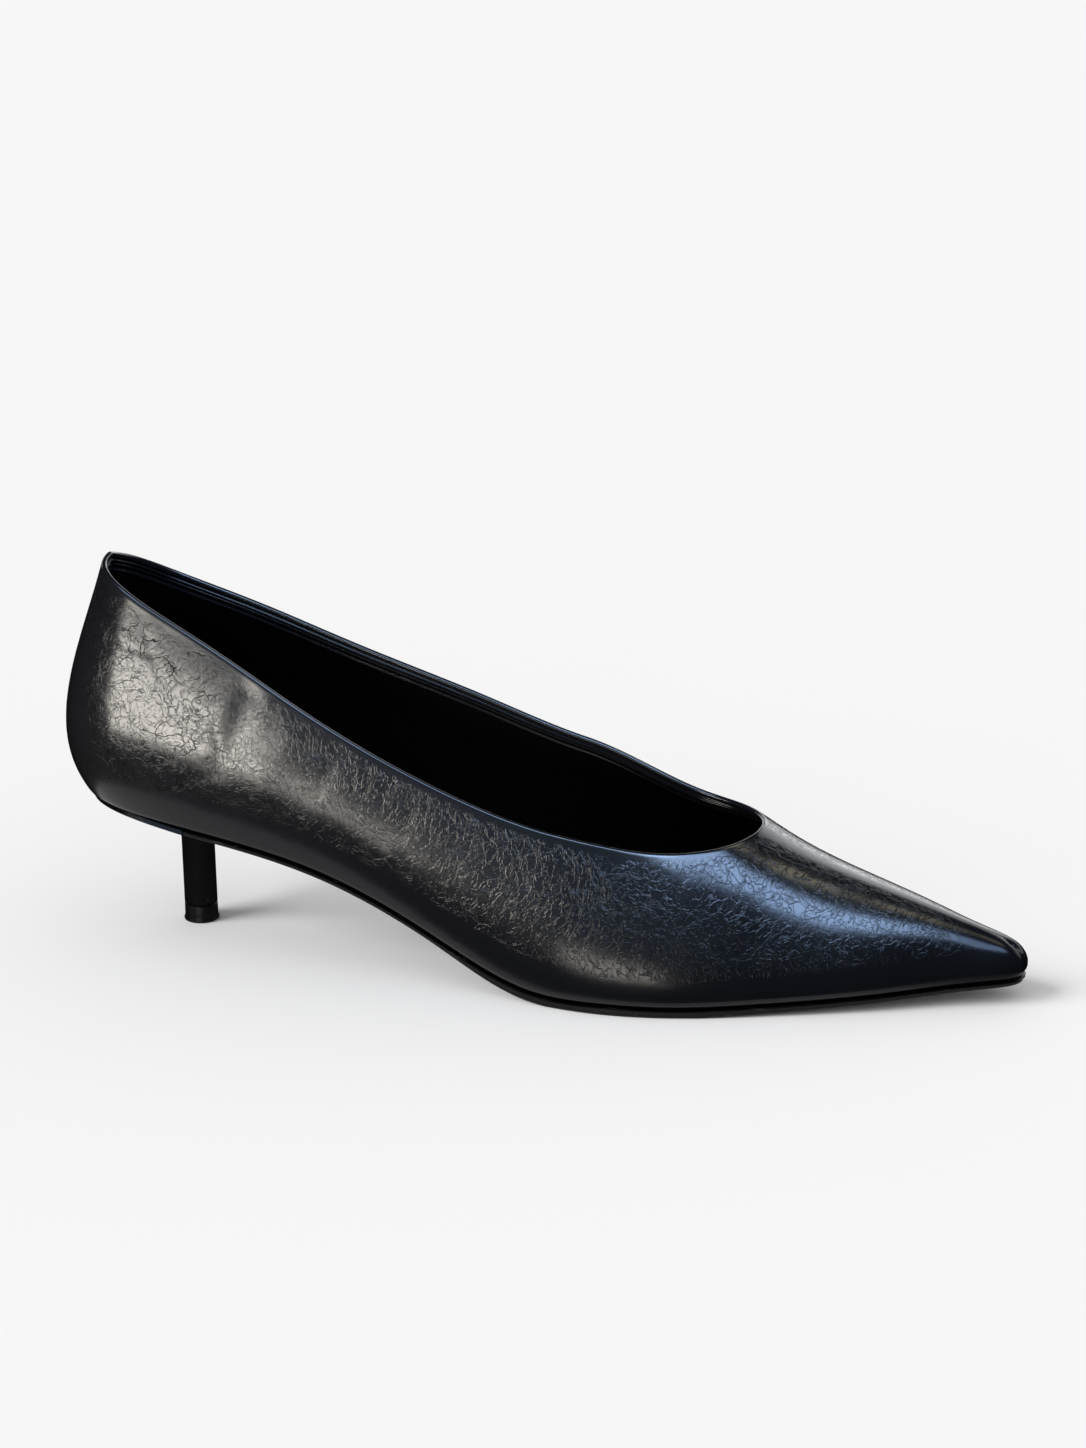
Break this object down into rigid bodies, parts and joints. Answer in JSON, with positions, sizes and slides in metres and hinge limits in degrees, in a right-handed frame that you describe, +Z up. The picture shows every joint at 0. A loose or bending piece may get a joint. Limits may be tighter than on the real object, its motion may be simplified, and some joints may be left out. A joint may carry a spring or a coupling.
{
  "type": "kitten heel pump",
  "caption": "Pointed black pump for the right foot, with a low-cut crackled upper, a thin curved sole and a slim kitten heel set forward under the seat.",
  "frame": {"origin": "on the floor under the middle of the heel tip", "axes": "+X towards the toe, +Y towards the inner side of the foot, +Z up"},
  "size_m": [0.262, 0.0732, 0.1029],
  "materials": {
    "leather": "satin crackled",
    "lining": "smooth matt lining",
    "sole": "matt",
    "heel": "glossy black",
    "tip": "matt"
  },
  "bodies": {
    "root": {"upper": "leather", "insole": "lining", "outsole": "sole", "heel": "heel", "heel_tip": "tip"}
  },
  "joints": []
}
